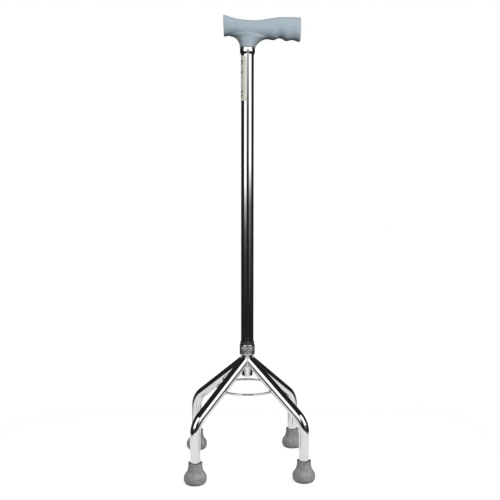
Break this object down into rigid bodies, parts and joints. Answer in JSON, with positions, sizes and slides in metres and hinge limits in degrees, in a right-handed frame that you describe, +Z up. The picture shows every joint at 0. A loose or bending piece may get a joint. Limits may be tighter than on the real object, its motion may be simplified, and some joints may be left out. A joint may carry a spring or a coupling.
{
  "type": "quad walking cane",
  "caption": "Chromed adjustable walking stick with a moulded T grip, standing on a base of bent tube legs with a wire brace ring and flared rubber tips.",
  "frame": {"origin": "on the ground under the axis of the shaft, midway between the four tips", "axes": "+Z up along the shaft, +X along the grip towards its nose, +Y towards the side with the snap button"},
  "size_m": [0.2202, 0.205, 0.7852],
  "materials": {
    "chromed_steel": "bright chrome plating on drawn steel tube and wire",
    "plated_steel": "dull zinc-plated steel",
    "blue_grey_plastic": "fine-grained moulded polypropylene, light blue-grey",
    "satin_nickel": "nickel-plated steel, knurled round its side, with smooth chamfers",
    "dark_plastic": "black moulded nylon",
    "grey_rubber": "matt grey moulded rubber",
    "label_film": "cream printed film, print left out"
  },
  "bodies": {
    "base": {"center_post": "chromed_steel", "post_plug": "plated_steel", "brace_ring": "chromed_steel", "leg_front_left": "chromed_steel", "tip_front_left": "grey_rubber", "tip_washer_front_left": "plated_steel", "leg_front_right": "chromed_steel", "tip_front_right": "grey_rubber", "tip_washer_front_right": "plated_steel", "leg_rear_left": "chromed_steel", "tip_rear_left": "grey_rubber", "tip_washer_rear_left": "plated_steel", "leg_rear_right": "chromed_steel", "tip_rear_right": "grey_rubber", "tip_washer_rear_right": "plated_steel", "snap_spring": "plated_steel"},
    "upper": {"shaft_tube": "chromed_steel", "collar_bush": "dark_plastic", "handle_grip": "blue_grey_plastic", "handle_ferrule": "chromed_steel", "handle_screw": "plated_steel", "label": "label_film"},
    "snap_button": {"snap_button": "plated_steel"},
    "clamp_ring": {"clamp_ring": "dark_plastic"},
    "lock_nut": {"lock_nut": "satin_nickel"}
  },
  "joints": [
    {"name": "height_slide", "type": "slide", "parent": "base", "child": "upper", "axis": [0, 0, 1], "range_m": [0, 0.15]},
    {"name": "button_press", "type": "slide", "parent": "base", "child": "snap_button", "axis": [0, -1, 0], "range_m": [0, 0.0042], "stiffness_N_per_m": 800, "springref_m": -0.003, "deforming": ["snap_spring"]},
    {"name": "clamp_slide", "type": "slide", "parent": "upper", "child": "clamp_ring", "axis": [0, 0, -1], "range_m": [0, 0.0015]},
    {"name": "nut_turn", "type": "hinge", "parent": "clamp_ring", "child": "lock_nut", "pos_m": [0, 0, 0.1959], "axis": [0, 0, -1], "range_deg": [0, 360]}
  ],
  "couplings": [
    {"joint": "clamp_slide", "follows": "nut_turn", "m_per_rad": 0.0002387}
  ]
}
